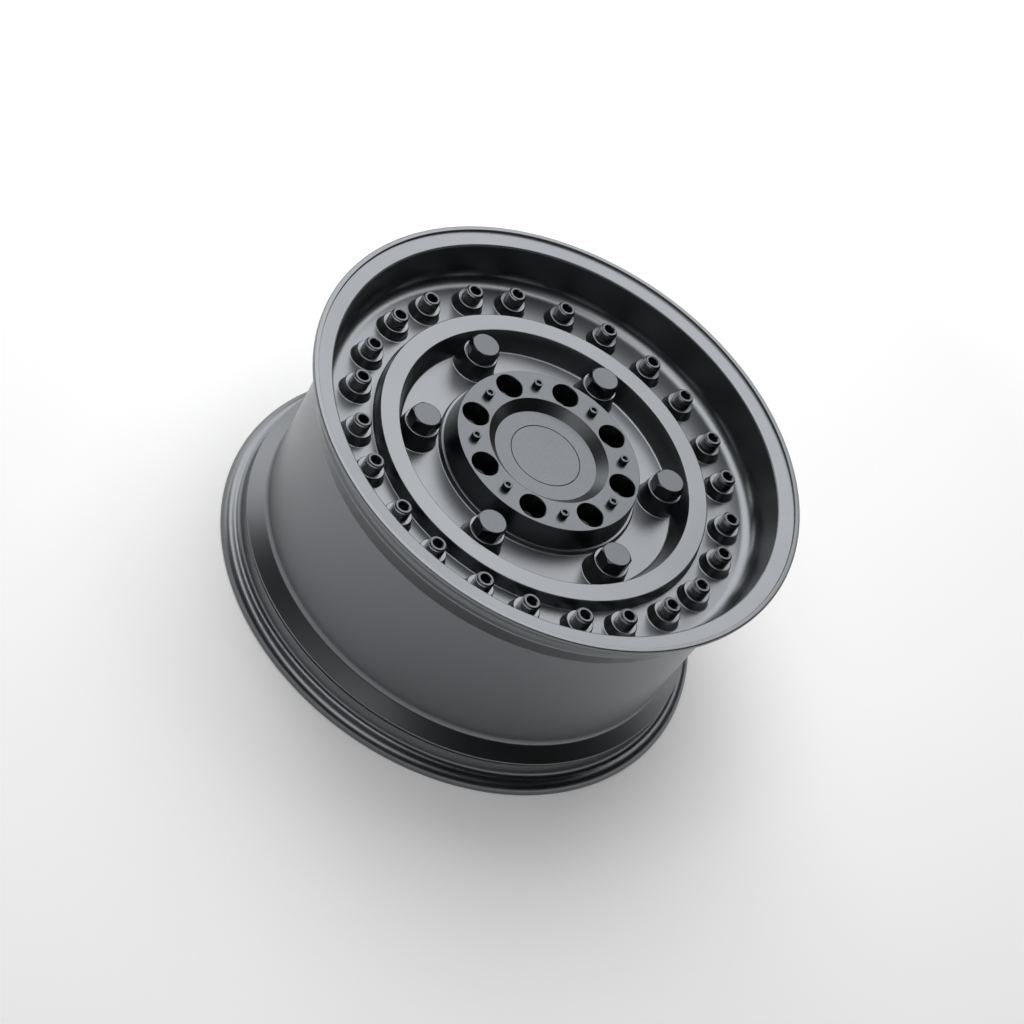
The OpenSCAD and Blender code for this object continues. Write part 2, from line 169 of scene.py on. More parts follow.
class FastenerSizes(bpy.types.PropertyGroup):
    """Sizes of the bolts, screws and studs."""

    bolt_af: size("Bolt key size", 30.0, "Size across the flats of a bolt head")
    bolt_head: size("Bolt head", 14.3, "Height of a bolt head with its washer face")
    bolt_face: size("Washer face", 0.8, "Thickness of the washer face")
    bolt_face_r: size("Washer face radius", 14.5, "Radius of the washer face")
    bolt_flat_r: size("Bolt crown radius", 14.4, "Radius of the flat on top of a bolt head")
    bolt_fall: size("Bolt chamfer", 2.6, "How far the corners of a bolt head lie below its top")
    bolt_r: size("Bolt thread radius", 10.0, "Radius of a bolt's shank")
    screw_head_r: size("Screw head radius", 5.0, "Radius of a cap screw's head")
    screw_head: size("Screw head height", 6.0, "Height of a cap screw's head")
    screw_key: size("Screw key size", 5.0, "Size across the flats of a cap screw's socket")
    screw_r: size("Screw radius", 3.0, "Radius of a cap screw's shank")
    stud_r: size("Stud radius", 10.0, "Outer radius of the stud thread")
    stud_pitch: size("Stud pitch", 2.5, "Pitch of the stud thread")
    stud_stand: size("Stud height", 12.6, "Height of a stud above its pad")
    stud_key: size("Stud key size", 10.0, "Size across the flats of the stud socket")
    stud_end: size("Stud chamfer", 1.4, "Chamfer at the end of a stud")


class FinishSettings(bpy.types.PropertyGroup):
    """Colours of the finishes."""

    casting: shade("Casting", "#747679", "Satin gunmetal powder coat")
    cap: shade("Hub cap", "#5c5e61", "Gunmetal paint on moulded nylon")
    fastener: shade("Fasteners", "#56585b", "Black zinc on steel")
    floor: shade("Floor", "#f4f4f4", "White studio floor")


class StudioSettings(bpy.types.PropertyGroup):
    """Camera and lamps."""

    lens: bpy.props.FloatProperty(name="Lens", description="Focal length in millimetres", default=115.0)
    azimuth: turn("Azimuth", 32.0976, "Direction of the camera round the wheel")
    elevation: turn("Elevation", 43.8062, "Height of the camera above the floor")
    roll: turn("Roll", 34.9952, "Turn of the camera")
    place: bpy.props.FloatVectorProperty(
        name="Place", description="Where the camera stands",
        default=(2.09605, 1.32067, 2.50398), unit="LENGTH")
    key: bpy.props.FloatProperty(
        name="Key light", description="Power of the large softbox behind the wheel",
        default=58.0, unit="POWER")
    top: bpy.props.FloatProperty(
        name="Top light", description="Power of the softbox above the wheel",
        default=16.0, unit="POWER")
    side: bpy.props.FloatProperty(
        name="Side light", description="Power of the low softbox at the left",
        default=12.0, unit="POWER")
    wall: bpy.props.FloatProperty(
        name="Wall light", description="Brightness of the room's walls near the floor",
        default=1.0)
    # Strength of the floor's added white near the wheel; below 1 it paints shade on the floor round the
    # wheel and in the wheel's reflections
    painted_shade_glow: bpy.props.FloatProperty(
        name="Floor whiteness", description="Share of the floor's white that no shadow takes",
        default=0.15)


# Steps round the axis of each round form
STEPS = {
    "casting": 240, "pad": 56, "boss": 72,
    "lug_tool": 64, "screw_tool": 32, "stud_tool": 48, "bolt_tool": 48, "valve_tool": 48, "pocket": 48,
    "cap": 256, "badge": 192, "hollow": 128, "sleeve": 64, "small_sleeve": 32,
    "opening": 72, "screw_way": 32,
    "dome": 120, "washer_face": 96, "screw": 64, "mouth": 64, "stud": 72, "blank": 72, "thread": 36,
}
# Distance at which two points count as one, in metres
SEAM = 1e-6
# How far a cutting tool reaches past the surface that it opens, in millimetres
OVER = 1.0


def deselect_all():
    bpy.ops.object.select_all(action="DESELECT")


def activate(obj):
    """Makes one object the only selected one."""
    deselect_all()
    obj.select_set(True)
    bpy.context.view_layer.objects.active = obj


def arc(x, z, r, start, end, steps=8):
    """Points along an arc about (x, z), by angles in degrees."""
    points = []
    for k in range(steps + 1):
        t = math.radians(start + (end - start) * k / steps)
        points.append((x + r * math.cos(t), z + r * math.sin(t)))
    return points


def lathe(name, outline):
    """Spins a closed outline of (radius, height) points, in millimetres, round the wheel's axis."""
    deselect_all()
    bpy.ops.mesh.primitive_plane_add(size=MM)
    obj = bpy.context.object
    obj.name = obj.data.name = name
    bpy.ops.object.mode_set(mode="EDIT")
    bpy.ops.mesh.merge(type="CENTER")
    (r0, z0) = outline[0]
    bpy.ops.transform.translate(value=(r0 * MM, 0, z0 * MM))
    for r1, z1 in outline[1:] + outline[:1]:
        step = ((r1 - r0) * MM, 0, (z1 - z0) * MM)
        bpy.ops.mesh.extrude_region_move(TRANSFORM_OT_translate={"value": step})
        r0, z0 = r1, z1
    bpy.ops.mesh.select_all(action="SELECT")
    bpy.ops.mesh.remove_doubles(threshold=SEAM)
    bpy.ops.mesh.spin(steps=STEPS[name], angle=2 * math.pi, center=(0, 0, 0), axis=(0, 0, 1))
    tidy_mesh()
    return obj


def tidy_mesh():
    """Closes seams and poles, turns the faces outwards and leaves edit mode."""
    bpy.ops.mesh.select_all(action="SELECT")
    bpy.ops.mesh.remove_doubles(threshold=2 * SEAM)
    bpy.ops.mesh.delete_loose(use_verts=True, use_edges=True, use_faces=False)
    bpy.ops.mesh.select_all(action="SELECT")
    bpy.ops.mesh.normals_make_consistent(inside=False)
    bpy.ops.object.mode_set(mode="OBJECT")


def hexagon(name, across_flats, low, high):
    """Upright hexagonal prism with one corner on +X."""
    deselect_all()
    corner = across_flats / 2 / math.cos(math.pi / 6)
    bpy.ops.mesh.primitive_cylinder_add(
        vertices=6, radius=corner * MM, depth=(high - low) * MM, location=(0, 0, (low + high) / 2 * MM))
    obj = bpy.context.object
    obj.name = obj.data.name = name
    # a new prism has its first corner on +Y
    obj.rotation_euler.z = math.radians(-90)
    bpy.ops.object.transform_apply(location=True, rotation=True)
    return obj


def join(objects):
    """Joins objects into the first one."""
    deselect_all()
    for obj in objects:
        obj.select_set(True)
    bpy.context.view_layer.objects.active = objects[0]
    if len(objects) > 1:
        bpy.ops.object.join()
    return objects[0]


def copies(obj, places):
    """One copy of an object, with its own mesh, for each (radius, angle) or (radius, angle, turn).

    Radii are in millimetres and angles in degrees. A copy without a turn faces outwards.
    """
    made = []
    for radius, angle, *turned in places:
        activate(obj)
        bpy.ops.object.duplicate(linked=False)
        twin = bpy.context.object
        t = math.radians(angle)
        twin.location = (radius * MM * math.cos(t), radius * MM * math.sin(t), 0)
        twin.rotation_euler.z = math.radians(turned[0]) if turned else t
        bpy.ops.object.transform_apply(location=True, rotation=True)
        made.append(twin)
    bpy.data.objects.remove(obj)
    return made


def combine(obj, tool, operation):
    """Joins, cuts or crosses a solid with a tool, which is used up."""
    activate(obj)
    bpy.ops.object.modifier_add(type="BOOLEAN")
    change = obj.modifiers[-1]
    change.operation = operation
    change.solver = "MANIFOLD"
    change.object = tool
    bpy.ops.object.modifier_apply(modifier=change.name)
    bpy.data.objects.remove(tool)
    return obj


# Radii at the top and the foot of a socket's countersink, as shares of the key size
MOUTH_TOP = 0.62
MOUTH_FOOT = 0.46


def socket(obj, key, top, depth):
    """Cuts a hexagon socket with a countersunk mouth into the top of a fastener."""
    mouth = MOUTH_TOP * key
    sink = mouth - MOUTH_FOOT * key
    combine(obj, hexagon("socket", key, top - depth, top + OVER), "DIFFERENCE")
    cone = [(0, top - sink), (mouth - sink, top - sink), (mouth + OVER, top + OVER), (0, top + OVER)]
    combine(obj, lathe("mouth", cone), "DIFFERENCE")


def smooth(obj, degrees=32):
    """Smooth shading that keeps flat faces flat and edges over the angle sharp."""
    activate(obj)
    bpy.ops.object.shade_smooth_by_angle(angle=math.radians(degrees))
    bpy.ops.object.modifier_add(type="WEIGHTED_NORMAL")
    obj.modifiers[-1].keep_sharp = True
    bpy.ops.object.modifier_apply(modifier=obj.modifiers[-1].name)


def hand_over(obj, name, node, material):
    """Names a finished piece, paints it and lets it stand for its construction solid."""
    obj.name = obj.data.name = name
    obj.data.materials.clear()
    obj.data.materials.append(material)
    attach(obj, BODY)
    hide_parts(node)


def centre_of(node):
    """Radius and angle in degrees of a node's middle, seen along the wheel's axis."""
    low, high = reach(node)
    x, y = (low.x + high.x) / 2, (low.y + high.y) / 2
    return math.hypot(x, y), math.degrees(math.atan2(y, x))


def corner_angle(node):
    """Angle in degrees of a hexagon head's corner, seen from the head's own middle."""
    radius, angle = centre_of(node)
    t = math.radians(angle)
    middle = Vector((radius * math.cos(t), radius * math.sin(t))) * MM
    corners = (Vector(v.co[:2]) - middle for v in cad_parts[node].data.vertices)
    far = max(corners, key=lambda d: d.length)
    return math.degrees(math.atan2(far.y, far.x))


# Materials

def add_node(tree, kind, settings=(), links=()):
    """Adds a node, sets its properties or inputs by name, and links other nodes' outputs to it."""
    node = tree.nodes.new(kind)
    for key, value in dict(settings).items():
        if isinstance(key, str) and hasattr(node, key):
            setattr(node, key, value)
        else:
            node.inputs[key].default_value = value
    for key, source in dict(links).items():
        tree.links.new(source, node.inputs[key])
    return node


def new_material(name):
    material = bpy.data.materials.new(name)
    material.use_nodes = True
    material.node_tree.nodes.clear()
    return material, material.node_tree


def per_metre(size_mm):
    """Noise scale at which one grain has this size."""
    return 1 / (size_mm * MM)


# Size of the slow drift of gloss that spraying leaves on a large piece
DRIFT_MM = 110.0
# The middle range of a noise, which takes the whole change of tone or gloss
NOISE_SPAN = {"From Min": 0.3, "From Max": 0.7}


def coat(name, base, metallic, roughness, grain, peel, tone_spread, gloss_spread):
    """A finish with a fine grain, an orange peel, and a slight drift of tone and gloss over the piece.

    The grain and the peel are (size, depth) in millimetres.
    """
    material, tree = new_material(name)
    place = add_node(tree, "ShaderNodeTexCoord")
    where = place.outputs["Object"]
    grit = add_node(tree, "ShaderNodeTexNoise",
                    {"Scale": per_metre(grain[0]), "Detail": 2.0, "Roughness": 0.6}, {"Vector": where})
    waves = add_node(tree, "ShaderNodeTexNoise",
                     {"Scale": per_metre(peel[0]), "Detail": 1.0, "Roughness": 0.5}, {"Vector": where})
    drift = add_node(tree, "ShaderNodeTexNoise",
                     {"Scale": per_metre(DRIFT_MM), "Detail": 2.0, "Roughness": 0.5}, {"Vector": where})
    dark = [c * (1 - tone_spread) for c in base[:3]] + [1]
    light = [min(1, c * (1 + tone_spread)) for c in base[:3]] + [1]
    flake = add_node(tree, "ShaderNodeMapRange", NOISE_SPAN, {"Value": grit.outputs["Fac"]})
    tone = add_node(tree, "ShaderNodeMix", {"data_type": "RGBA", 6: dark, 7: light},
                    {0: flake.outputs["Result"]})
    gloss_span = {"To Min": roughness - gloss_spread, "To Max": roughness + gloss_spread}
    gloss = add_node(tree, "ShaderNodeMapRange", {**NOISE_SPAN, **gloss_span},
                     {"Value": drift.outputs["Fac"]})
    peel_bump = add_node(tree, "ShaderNodeBump", {"Strength": 1.0, "Distance": peel[1] * MM},
                         {"Height": waves.outputs["Fac"]})
    grit_bump = add_node(tree, "ShaderNodeBump", {"Strength": 1.0, "Distance": grain[1] * MM},
                         {"Height": grit.outputs["Fac"], "Normal": peel_bump.outputs["Normal"]})
    shader = add_node(tree, "ShaderNodeBsdfPrincipled", {"Metallic": metallic},
                      {"Base Color": tone.outputs[2], "Roughness": gloss.outputs["Result"],
                       "Normal": grit_bump.outputs["Normal"]})
    add_node(tree, "ShaderNodeOutputMaterial", {}, {"Surface": shader.outputs["BSDF"]})
    return material


def casting_coat():
    """Satin powder coat with metal flake: a soft sheen and a faint orange peel."""
    return coat("powder_coat_metallic", bpy.context.scene.wheel_finish.casting, 1.0, 0.33,
                grain=(0.9, 0.003), peel=(4.5, 0.010), tone_spread=0.06, gloss_spread=0.02)


def cap_coat():
    """Metallic paint on moulded nylon: darker than the casting, with a fine grit."""
    return coat("nylon_painted_metallic", bpy.context.scene.wheel_finish.cap, 1.0, 0.32,
                grain=(0.8, 0.008), peel=(4.0, 0.008), tone_spread=0.14, gloss_spread=0.02)


def fastener_coat():
    """Black zinc on turned steel: darker still, with a sheen on its flats and edges."""
    return coat("steel_zinc_black", bpy.context.scene.wheel_finish.fastener, 1.0, 0.30,
                grain=(0.7, 0.006), peel=(3.0, 0.006), tone_spread=0.14, gloss_spread=0.03)


MADE = {}


def finish_of(kind):
    """The one material of each kind, made when it is first asked for."""
    makers = {"casting": casting_coat, "cap": cap_coat, "fastener": fastener_coat}
    if kind not in MADE:
        MADE[kind] = makers[kind]()
    return MADE[kind]


# Lesser sizes of the casting, in millimetres unless the name says degrees

# common edges, and the edges of the pads and bosses
EDGE = 1.5
FINE_EDGE = 0.6
RAISED_EDGE = 1.2
# flanges and bead seats
TIP_R = 1.8
HEEL_R = 6.5
SEAT_FALL = 1.3
# humps, which stand on a foot a little below the seat, and the groove beside the inboard one
HUMP_R = 2.7
HUMP_W = 5.0
HUMP_DEG = 40
HUMP_SINK = 1.0
GROOVE = 1.6
GROOVE_R = 0.5
GROOVE_EDGE = 0.3
# bends of the barrel, outside and inside
REAR_BEND_R = 14.0
FRONT_BEND_R = 9.0
BEND_DIP = 1.5
INNER_BEND_R = 12.0
INNER_BEND_RISE = 3.0
SEAT_BEND_R = 8.0
SEAT_BEND_DROP = 4.0
MOUTH_R = 6.0
MOUTH_Z = 2.0
FLANGE_BACK = 9.0
FLANGE_EDGE = 1.2
# back of the disc and the channel behind the ring
BACK_FILLET = 14.0
HUB_FILLET = 6.0
HUB_DRAFT = 3.0
CORE_WALL = 8.0
WALL_DRAFT = 1.8
# lip and dish
STEP_LEAN = 0.3
STEP_R = 0.4
CORNER = 2.5
DISH_DRAFT = 3.0
FOOT = 3.0
# pads and bosses, which start below the surface that they stand on
PAD_DRAFT = 2.0
BOSS_DRAFT = 3.2
SINK = 5.0
# holes: clearance round a shank, depths, half the angle of a lug seat
TAP_GAP = 0.1
SCREW_HOLE = 14
STUD_HOLE = 20
BOLT_HOLE = 27
LUG_SEAT_DEG = 30
LUG_CHAMFER = 1
POCKET_RIB = 5.0
# valve hole: its place round the wheel, and its seat above the middle of the ramp
VALVE_DEG = 330
VALVE_SEAT = 4.8
VALVE_SEAT_W = 3.5
VALVE_LOW = -12
VALVE_HIGH = 20


class Levels:
    """Heights and radii that several outlines share."""

    def __init__(self, s):
        self.floor = s.overall - s.dish
        self.ring = self.floor + s.ring_h
        self.inner = self.ring - s.inner
        self.land = self.inner + s.land_h
        self.pad = self.floor + s.pad_h
        self.boss = self.inner + s.boss_h
        self.seat_r = s.flange_r - s.flange_h
        self.foot_r = self.seat_r - SEAT_FALL
        self.curl_r = s.flange_t - TIP_R
        self.front_face = s.overall - s.flange_t
        self.front_hump = self.front_face - s.front_seat
        self.front_hump_mid = self.front_hump + HUMP_R / 2
        self.rear_hump = s.flange_t + s.rear_seat
        self.front_drop = (self.seat_r - s.front_drop, self.front_hump - s.front_ramp)
        self.rear_drop = (self.seat_r - s.rear_drop, self.rear_hump + HUMP_W + s.rear_ramp)


def back_outline(s, at):
    """Hub wall, back of the disc, channel behind the ring, inside of the barrel."""
    outer_back = at.floor - s.disc_t
    inner_back = at.inner - s.disc_t
    ring_in = s.ring_r - s.ring_w
    barrel_in = at.front_drop[0] - s.wall - BACK_FILLET
    rear_in = at.foot_r - s.wall
    hub_r = s.face_r + HUB_DRAFT + HUB_FILLET
    return (
        [(s.bore_r, s.face_z + EDGE), (s.bore_r + EDGE, s.face_z)]
        + [(s.face_r - FINE_EDGE, s.face_z), (s.face_r, s.face_z + FINE_EDGE)]
        + arc(hub_r, inner_back - HUB_FILLET, HUB_FILLET, 176, 90)
        + arc(ring_in - s.ring_lean + CORE_WALL - EDGE, inner_back + EDGE, EDGE, 270, 336, 4)
        + arc(ring_in + CORE_WALL + EDGE, at.ring - s.disc_t - EDGE, EDGE, 156, 90, 4)
        + arc(s.ring_r - CORE_WALL - EDGE, at.ring - s.disc_t - EDGE, EDGE, 90, 8, 4)
        + arc(s.ring_r - CORE_WALL + WALL_DRAFT + EDGE, outer_back + EDGE, EDGE, 188, 270, 4)
        + arc(barrel_in, outer_back - BACK_FILLET, BACK_FILLET, 90, -3, 10)
        + arc(at.rear_drop[0] - s.wall - INNER_BEND_R, at.rear_drop[1] + INNER_BEND_RISE,
              INNER_BEND_R, -3, -38, 4)
        + arc(rear_in - SEAT_BEND_R, at.rear_hump + HUMP_W - SEAT_BEND_DROP,
              SEAT_BEND_R, 30, 0, 4)
        + [(rear_in, s.flange_t + MOUTH_Z)]
        + arc(rear_in + MOUTH_R, s.flange_t + MOUTH_Z, MOUTH_R, 180, 245, 4)
        + [(s.flange_r - FLANGE_BACK, FOOT)]
        + arc(s.flange_r - FLANGE_BACK + TIP_R + FLANGE_EDGE, FLANGE_EDGE,
              FLANGE_EDGE, 200, 270, 3)
    )


def tyre_outline(s, at):
    """Inboard flange, bead seat, hump, barrel and outboard flange."""
    top_r = at.foot_r - HUMP_SINK
    return (
        arc(s.flange_r - TIP_R, TIP_R, TIP_R, 270, 360, 6)
        + arc(s.flange_r - at.curl_r, s.flange_t - at.curl_r, at.curl_r, 4, 90, 12)
        + arc(at.seat_r + HEEL_R, s.flange_t + HEEL_R, HEEL_R, 270, 180, 12)
        + [(at.foot_r, at.rear_hump - GROOVE - GROOVE_EDGE)]
        + [(at.foot_r - GROOVE_EDGE, at.rear_hump - GROOVE)]
        + arc(at.foot_r - GROOVE + GROOVE_R, at.rear_hump - GROOVE + GROOVE_R, GROOVE_R, 240, 180, 3)
        + arc(at.foot_r - GROOVE + GROOVE_R, at.rear_hump - GROOVE_R, GROOVE_R, 180, 110, 3)
        + arc(top_r, at.rear_hump + HUMP_W / 2, HUMP_R, -HUMP_DEG, 35, 10)
        + arc(at.rear_drop[0] + REAR_BEND_R, at.rear_drop[1] - BEND_DIP, REAR_BEND_R, 212, 180, 6)
        + arc(at.front_drop[0] + FRONT_BEND_R, at.front_drop[1] - BEND_DIP, FRONT_BEND_R, 177, 158, 4)
        + arc(top_r, at.front_hump_mid, HUMP_R, -22, HUMP_DEG, 8)
        + [(at.foot_r, at.front_hump + HUMP_W)]
        + arc(at.seat_r + HEEL_R, at.front_face - HEEL_R, HEEL_R, 180, 90, 12)
        + arc(s.flange_r - at.curl_r, at.front_face + at.curl_r, at.curl_r, 270, 356, 12)
    )


def face_outline(s, at):
    """Lip, dish, raised ring, inner floor and the land under the cap."""
    edge_r = s.flange_r - s.edge_w
    band = s.overall - s.step
    wall_top = s.flange_r - s.lip_w
    wall_low = wall_top - DISH_DRAFT
    ring_in = s.ring_r - s.ring_w
    ring_foot = ring_in - s.ring_lean
    return (
        arc(s.flange_r - TIP_R, s.overall - TIP_R, TIP_R, 0, 90, 8)
        + arc(edge_r + FINE_EDGE, s.overall - FINE_EDGE, FINE_EDGE, 90, 176, 4)
        + arc(edge_r - STEP_LEAN - STEP_R, band + STEP_R, STEP_R, -4, -86, 3)
        + arc(wall_top + CORNER, band - EDGE - CORNER, CORNER, 94, 176, 8)
        + arc(wall_low - s.dish_fillet, at.floor + s.dish_fillet, s.dish_fillet, 2, -90, 18)
        + arc(s.ring_r + WALL_DRAFT + EDGE, at.floor + EDGE, EDGE, 270, 187, 6)
        + arc(s.ring_r - EDGE, at.ring - EDGE, EDGE, 7, 90, 8)
        + arc(ring_in + EDGE, at.ring - EDGE, EDGE, 90, 156, 6)
        + arc(ring_foot - FINE_EDGE, at.inner + FOOT, FOOT, -24, -90, 8)
        + arc(s.land_r + EDGE + FINE_EDGE, at.inner + EDGE, EDGE, 270, 188, 6)
        + arc(s.land_r - FINE_EDGE, at.land - FINE_EDGE, FINE_EDGE, 8, 90, 4)
        + [(s.spigot_r + FINE_EDGE, at.land), (s.spigot_r, at.land - FINE_EDGE)]
        + [(s.spigot_r, at.land - s.spigot_h), (s.bore_r, at.land - s.spigot_h)]
    )


def boss_outline(top_r, draft, low, high):
    """Half outline of a boss with a rounded top and a small fillet at its foot."""
    foot_r = top_r + draft + EDGE
    return (
        [(0, high)]
        + arc(top_r - RAISED_EDGE, high - RAISED_EDGE, RAISED_EDGE, 90, 10, 6)
        + arc(foot_r, low + EDGE, EDGE, 190, 270, 6)
        + [(foot_r, low - SINK), (0, low - SINK)]
    )


def hole_outline(levels):
    """Half outline of a stepped hole: (radius, low, high) from the bottom up."""
    points = [(0, levels[0][1])]
    for radius, low, high in levels:
        points += [(radius, low), (radius, high)]
    return points + [(0, levels[-1][2])]


class WHEEL_OT_casting(bpy.types.Operator):
    """Models the rim and disc, cast in one piece, and drills it"""

    bl_idname = "wheel.casting"
    bl_label = "Casting"

    def execute(self, context):
        s = Millimetres(context.scene.wheel_rim)
        at = Levels(s)
        body = lathe("casting", back_outline(s, at) + tyre_outline(s, at) + face_outline(s, at))
        pad = lathe("pad", boss_outline(s.pad_r, PAD_DRAFT, at.floor, at.pad))
        boss = lathe("boss", boss_outline(s.boss_r, BOSS_DRAFT, at.inner, at.boss))
        raised = copies(pad, [centre_of(n) for n in STUD_NODES])
        raised += copies(boss, [centre_of(n) for n in BOLT_NODES])
        combine(body, join(raised), "UNION")
        combine(body, join(self.cutters(s, at)), "DIFFERENCE")
        smooth(body)
        hand_over(body, "casting", "wheel_casting", finish_of("casting"))
        return {"FINISHED"}

    def cutters(self, s, at):
        """Lug holes, lightening pockets, tapped holes and the valve hole."""
        seat = s.face_z + s.lug_seat
        cone = seat - (s.lug_well - s.lug_hole) / math.tan(math.radians(LUG_SEAT_DEG))
        high = at.land + LUG_CHAMFER
        well = [(0, s.face_z - SINK), (s.lug_hole, s.face_z - SINK), (s.lug_hole, cone), (s.lug_well, seat)]
        well += [(s.lug_well, at.land - LUG_CHAMFER), (s.lug_well + 2 * LUG_CHAMFER, high), (0, high)]
        screws = [centre_of(n) for n in SCREW_NODES]
        step = 360 / len(SCREW_NODES)
        tools = copies(lathe("lug_tool", well), [(s.lug_r, a + step / 2) for _, a in screws])
        tools += [self.pocket(s, at, a) for _, a in screws]
        f = Millimetres(bpy.context.scene.wheel_fasteners)
        for name, radius, top, depth, nodes in (
                ("screw_tool", f.screw_r, at.land, SCREW_HOLE, SCREW_NODES),
                ("stud_tool", f.stud_r, at.pad, STUD_HOLE, STUD_NODES),
                ("bolt_tool", f.bolt_r, at.boss, BOLT_HOLE, BOLT_NODES)):
            hole = lathe(name, hole_outline([(radius + TAP_GAP, top - depth, top + OVER)]))
            tools += copies(hole, [centre_of(n) for n in nodes])
        tools.append(self.valve(s, at))
        return tools

    def pocket(self, s, at, angle):
        """Round-ended lightening pocket, open to the back."""
        step = math.radians(180 / len(SCREW_NODES))
        width = 2 * s.lug_r * math.sin(step) - 2 * s.lug_well - 3 * POCKET_RIB
        near, far = s.bore_r + POCKET_RIB + width / 2, s.face_r - POCKET_RIB - width / 2
        top = at.land - SCREW_HOLE - 2 * POCKET_RIB
        low = s.face_z - OVER
        deselect_all()
        bpy.ops.mesh.primitive_cylinder_add(
            vertices=STEPS["pocket"], radius=width / 2 * MM, depth=(top - low) * MM,
            location=(near * MM, 0, (top + low) / 2 * MM))
        tool = bpy.context.object
        bpy.ops.object.transform_apply(location=True)
        # draws the outer half of the rounds outwards
        for polygon in tool.data.polygons:
            polygon.select = False
        for edge in tool.data.edges:
            edge.select = False
        for vertex in tool.data.vertices:
            vertex.select = vertex.co.x > near * MM + SEAM
        bpy.ops.object.mode_set(mode="EDIT")
        bpy.ops.transform.translate(value=((far - near) * MM, 0, 0))
        bpy.ops.mesh.select_all(action="SELECT")
        bpy.ops.object.mode_set(mode="OBJECT")
        tool.rotation_euler.z = math.radians(angle)
        bpy.ops.object.transform_apply(rotation=True)
        return tool

    def valve(self, s, at):
        """Valve hole with a round seat on the dish side, square to the outboard ramp."""
        top_r = at.foot_r - HUMP_SINK + HUMP_R * math.cos(math.radians(HUMP_DEG))
        top_z = at.front_hump_mid - HUMP_R * math.sin(math.radians(HUMP_DEG))
        low_r, low_z = at.front_drop
        lean = math.atan2(top_r - low_r, top_z - low_z)
        levels = [(s.valve_r, VALVE_LOW, VALVE_SEAT), (s.valve_r + VALVE_SEAT_W, VALVE_SEAT, VALVE_HIGH)]
        tool = lathe("valve_tool", hole_outline(levels))
        tool.matrix_world = (
            Matrix.Rotation(math.radians(VALVE_DEG), 4, "Z")
            @ Matrix.Translation(Vector(((low_r + top_r) / 2 * MM, 0, (low_z + top_z) / 2 * MM)))
            @ Matrix.Rotation(math.radians(270) + lean, 4, "Y"))
        activate(tool)
        bpy.ops.object.transform_apply(location=True, rotation=True)
        return tool


# Lesser sizes of the cap and the badge, in millimetres

CAP_EDGE = 0.8
CAP_FOOT_EDGE = 0.4
RECESS_FOOT_IN = 0.3
BADGE_GAP = 0.35
BADGE_MOUTH = 0.85
BADGE_SINK = 0.5
BADGE_EDGE = 0.4
ROOF_FALL = 6
SLEEVE_THINNER = 0.5
# the sleeves stop just short of the land, so that the cap sits on its rim
SLEEVE_GAP = 0.3
SCREW_SLEEVE_R = 6.75
SCREW_WAY_R = 3.25
OPENING_CHAMFER = 0.7


